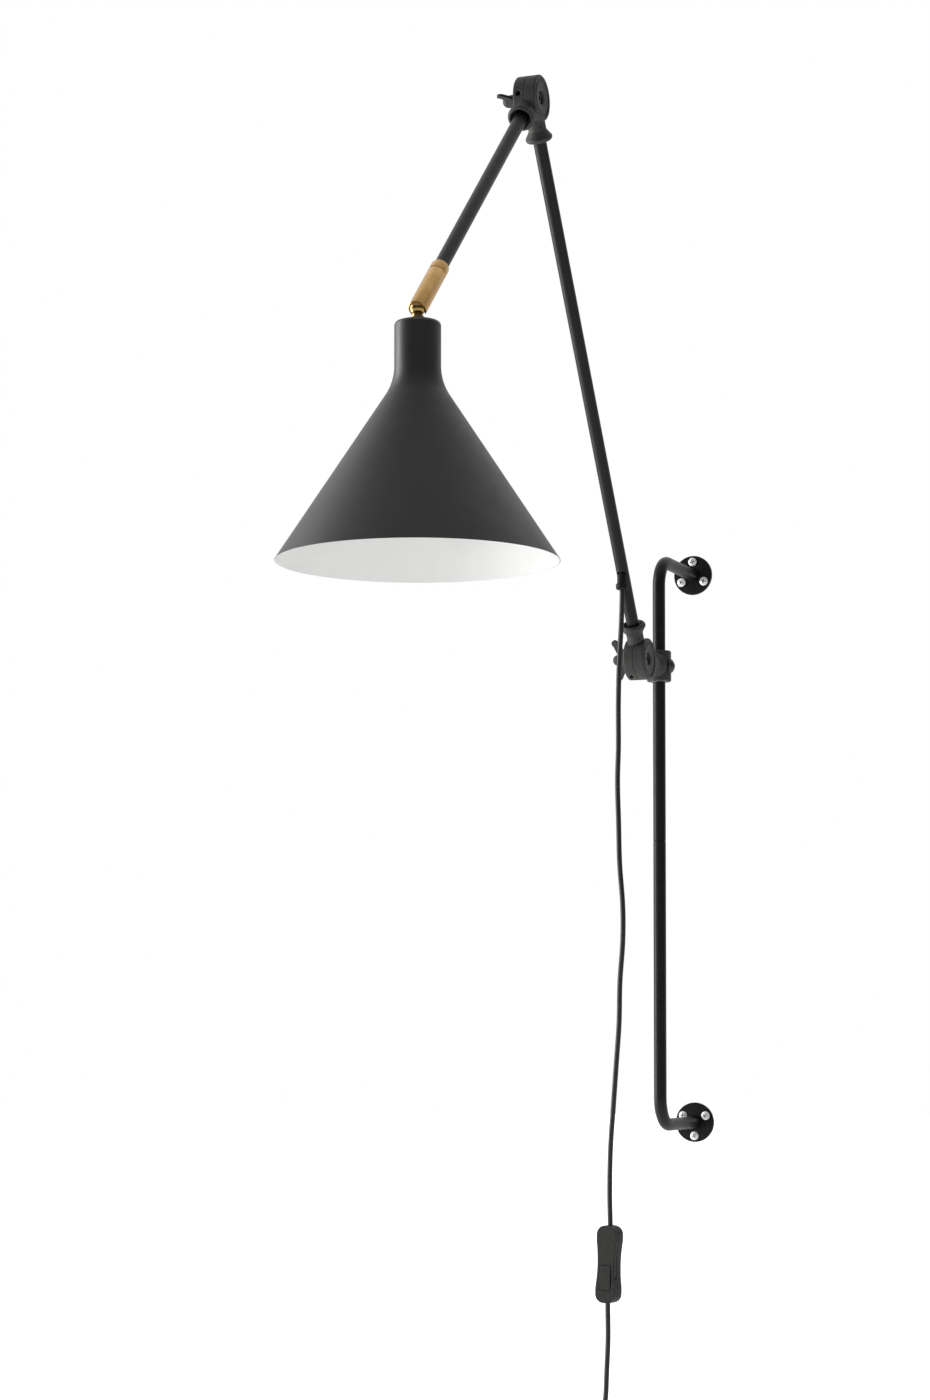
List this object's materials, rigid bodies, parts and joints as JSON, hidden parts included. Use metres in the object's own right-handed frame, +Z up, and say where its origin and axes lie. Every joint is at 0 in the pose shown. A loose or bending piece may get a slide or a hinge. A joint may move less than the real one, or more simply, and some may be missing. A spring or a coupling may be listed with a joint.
{
  "type": "swing arm wall lamp",
  "caption": "Wall rail with a sliding collar, two jointed arms, a brass ball swivel, a cone shade and a switched cord with plug.",
  "frame": {"origin": "centre of the upper wall flange's back face, on the wall plane", "axes": "+X to the lamp's right as seen facing the wall, +Y into the wall, +Z up"},
  "size_m": [0.2336, 0.8731, 1.3925],
  "materials": {
    "black_coat": "satin black powder coat on steel tube",
    "cast_black": "matte black coat on a fine cast surface",
    "black_steel": "blackened steel, satin",
    "zinc": "bright zinc plate",
    "nylon": "natural nylon",
    "fibre": "vulcanised fibre",
    "brass": "satin turned brass",
    "shade_coat": "matte black outside, satin white inside",
    "black_plastic": "fine moulded texture",
    "black_rubber": "soft satin sheath",
    "ceramic": "glazed",
    "contact_brass": "plain",
    "opal_glass": "opal"
  },
  "bodies": {
    "wall_rail": {"upper_wall_flange": "black_coat", "lower_wall_flange": "black_coat", "upper_rail_tube": "black_coat", "lower_rail_tube": "black_coat", "rail_joiner": "zinc", "upper_wall_screws": "zinc", "lower_wall_screws": "zinc"},
    "liner": {"rail_liner": "nylon"},
    "collar": {"rail_collar": "cast_black", "collar_stud": "zinc", "base_knuckle": "cast_black", "base_pivot_bolt": "black_steel", "base_friction_washer": "fibre", "base_nut_washer": "black_steel", "cord_drop": "black_rubber", "cord_tail": "black_rubber", "cord_coil": "black_rubber", "cord_lead": "black_rubber", "coil_tie": "black_rubber", "switch_front_shell": "black_plastic", "switch_back_shell": "black_plastic", "switch_screws": "zinc", "switch_contacts": "contact_brass", "plug_body": "black_plastic", "plug_pins": "zinc"},
    "clamp_screw": {"clamp_screw": "black_steel"},
    "base_wing_nut": {"base_wing_nut": "cast_black"},
    "switch_rocker": {"switch_rocker": "black_plastic"},
    "lower_arm": {"lower_arm_socket": "cast_black", "lower_arm_tube": "black_coat", "lower_grub_screws": "zinc", "cord_grommet": "black_rubber", "lower_arm_flex": "black_rubber", "lower_elbow_half": "cast_black", "elbow_pivot_bolt": "black_steel", "elbow_friction_washer": "fibre", "elbow_nut_washer": "black_steel"},
    "elbow_wing_nut": {"elbow_wing_nut": "cast_black"},
    "upper_arm": {"upper_elbow_half": "cast_black", "upper_arm_tube": "black_coat", "upper_grub_screw": "zinc", "upper_arm_flex": "black_rubber", "swivel_ring": "brass", "swivel_circlip": "zinc"},
    "swivel_housing": {"swivel_cup": "brass", "seat_spring": "zinc", "ball_seat": "nylon"},
    "swivel_ball": {"swivel_ball": "brass"},
    "shade": {"shade": "shade_coat", "shade_nipple": "zinc", "stem_washer": "brass", "top_nut": "black_steel", "inner_nut": "zinc", "holder_cap": "black_plastic", "holder_skirt": "black_plastic", "holder_insert": "ceramic", "holder_contacts": "contact_brass", "bulb_cap": "zinc", "bulb_glass": "opal_glass"}
  },
  "joints": [
    {"name": "rail_slide", "type": "slide", "parent": "wall_rail", "child": "liner", "axis": [0, 0, 1], "range_m": [-0.4, 0.055]},
    {"name": "collar_turn", "type": "hinge", "parent": "liner", "child": "collar", "pos_m": [0, -0.116, -0.109], "axis": [0, 0, 1], "range_deg": [-80, 80]},
    {"name": "clamp_screw_turn", "type": "hinge", "parent": "collar", "child": "clamp_screw", "pos_m": [0.012, -0.116, -0.109], "axis": [1, 0, 0], "continuous": true},
    {"name": "base_nut_turn", "type": "hinge", "parent": "collar", "child": "base_wing_nut", "pos_m": [-0.012, -0.178, -0.109], "axis": [1, 0, 0], "continuous": true},
    {"name": "rocker_tilt", "type": "hinge", "parent": "collar", "child": "switch_rocker", "pos_m": [-0.01598, -0.23523, -0.71599], "axis": [0.981, -0.1907, -0.0349], "range_deg": [-4, 4]},
    {"name": "base_pivot", "type": "hinge", "parent": "collar", "child": "lower_arm", "pos_m": [0, -0.178, -0.109], "axis": [-1, 0, 0], "range_deg": [-75, 30], "deforming": ["cord_drop"]},
    {"name": "elbow_nut_turn", "type": "hinge", "parent": "lower_arm", "child": "elbow_wing_nut", "pos_m": [-0.012, -0.47996, 0.36499], "axis": [1, 0, 0], "continuous": true},
    {"name": "elbow_pivot", "type": "hinge", "parent": "lower_arm", "child": "upper_arm", "pos_m": [0, -0.47996, 0.36499], "axis": [1, 0, 0], "range_deg": [-95, 25]},
    {"name": "swivel_turn", "type": "hinge", "parent": "upper_arm", "child": "swivel_housing", "pos_m": [0, -0.74428, 0.11328], "axis": [0, -0.7242, -0.6896], "range_deg": [-160, 160]},
    {"name": "shade_tilt", "type": "hinge", "parent": "swivel_housing", "child": "swivel_ball", "pos_m": [0, -0.74428, 0.11328], "axis": [1, 0, 0], "range_deg": [-46, 43]},
    {"name": "shade_spin", "type": "hinge", "parent": "swivel_ball", "child": "shade", "pos_m": [0, -0.74428, 0.11328], "axis": [0, 0, -1], "range_deg": [-175, 175]}
  ]
}
